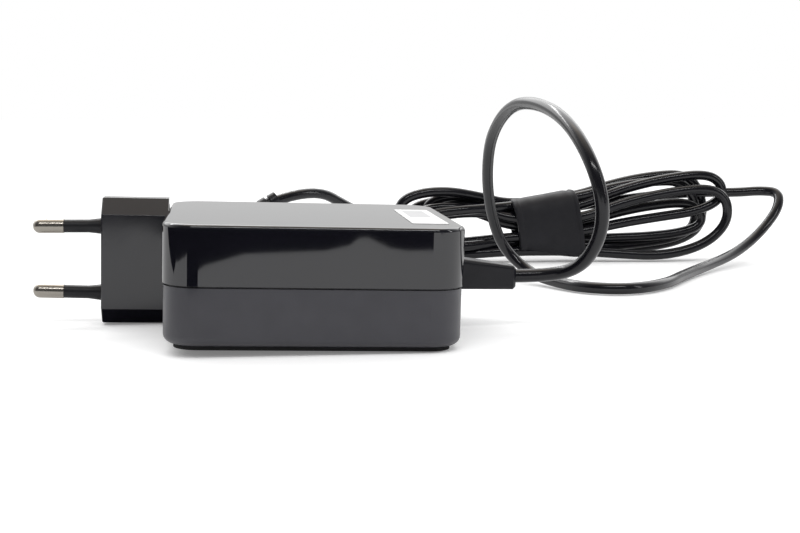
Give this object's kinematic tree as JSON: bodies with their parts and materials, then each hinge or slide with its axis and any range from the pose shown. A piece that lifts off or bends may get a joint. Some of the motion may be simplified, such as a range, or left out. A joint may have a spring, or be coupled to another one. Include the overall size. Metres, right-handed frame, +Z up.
{
  "type": "laptop power adapter",
  "caption": "Square black laptop power adapter with a removable round-pin plug head, a strain relief and a thin output cord wound into a tied hank that ends in a barrel connector.",
  "frame": {"origin": "on the table, under the middle of the box round the case and the plug head without the cord", "axes": "+Z up off the table, -X the way the plug's pins point, +X the way the cord leaves, +Y towards the back, so -Y is the face that is seen; the case leans by about 1.6 degrees onto the taller plug head"},
  "size_m": [0.2661, 0.1965, 0.0628],
  "materials": {
    "case_gloss": "polished, piano black",
    "case_satin": "fine satin grain, very dark grey",
    "label_film": "white polyester film",
    "plug_gloss": "polished, black",
    "inner_plastic": "matt black",
    "natural_nylon": "matt off-white",
    "nickel": "nickel plate, polished",
    "copper": "bare copper",
    "wire_insulation": "matt",
    "circuit_board": "solder mask, satin",
    "fibre_sheet": "matt",
    "fuse_body": "matt",
    "yellow_film": "satin",
    "blue_ceramic": "dipped, satin",
    "ferrite": "matt",
    "enamelled_wire": "varnished",
    "package_plastic": "moulding compound, matt",
    "capacitor_sleeve": "shrunk sleeve, satin",
    "aluminium_sheet": "mill finish",
    "thermal_pad": "soft, matt",
    "cord_jacket": "smooth, slightly glossy",
    "moulded_boot": "satin",
    "strap": "matt"
  },
  "bodies": {
    "adapter": {"upper_shell": "case_gloss", "lower_shell": "case_satin", "top_label": "label_film", "inlet_block": "natural_nylon", "inlet_blades": "nickel", "ac_leads": "wire_insulation", "main_board": "circuit_board", "insulation_sheet": "fibre_sheet", "fuse": "fuse_body", "x_capacitor": "yellow_film", "y_capacitor": "blue_ceramic", "choke_core": "ferrite", "choke_windings": "enamelled_wire", "bridge_rectifier": "package_plastic", "bulk_capacitor": "capacitor_sleeve", "transformer_core": "ferrite", "transformer_bobbin": "inner_plastic", "transformer_winding": "yellow_film", "primary_heat_sink": "aluminium_sheet", "primary_switch": "package_plastic", "secondary_heat_sink": "aluminium_sheet", "secondary_rectifier": "package_plastic", "optocoupler": "package_plastic", "controller_chip": "package_plastic", "output_capacitors": "capacitor_sleeve", "output_choke": "enamelled_wire", "heat_spreader": "aluminium_sheet", "thermal_pad": "thermal_pad", "dc_leads": "wire_insulation", "strain_relief": "moulded_boot", "dc_cord": "cord_jacket", "cord_hank": "cord_jacket", "cord_strap": "strap", "cord_tail": "cord_jacket", "connector_grip": "moulded_boot", "connector_barrel": "nickel", "connector_insulator": "natural_nylon", "connector_contact": "copper"},
    "plug_head": {"plug_housing": "plug_gloss", "plug_plate": "inner_plastic", "plug_pins": "nickel", "pin_sleeves": "inner_plastic", "plug_leads": "copper", "plug_contacts": "copper"}
  },
  "joints": [
    {"name": "plug_head_pull", "type": "slide", "parent": "adapter", "child": "plug_head", "axis": [-0.9996, 0, 0.0274], "range_m": [0, 0.03]}
  ]
}
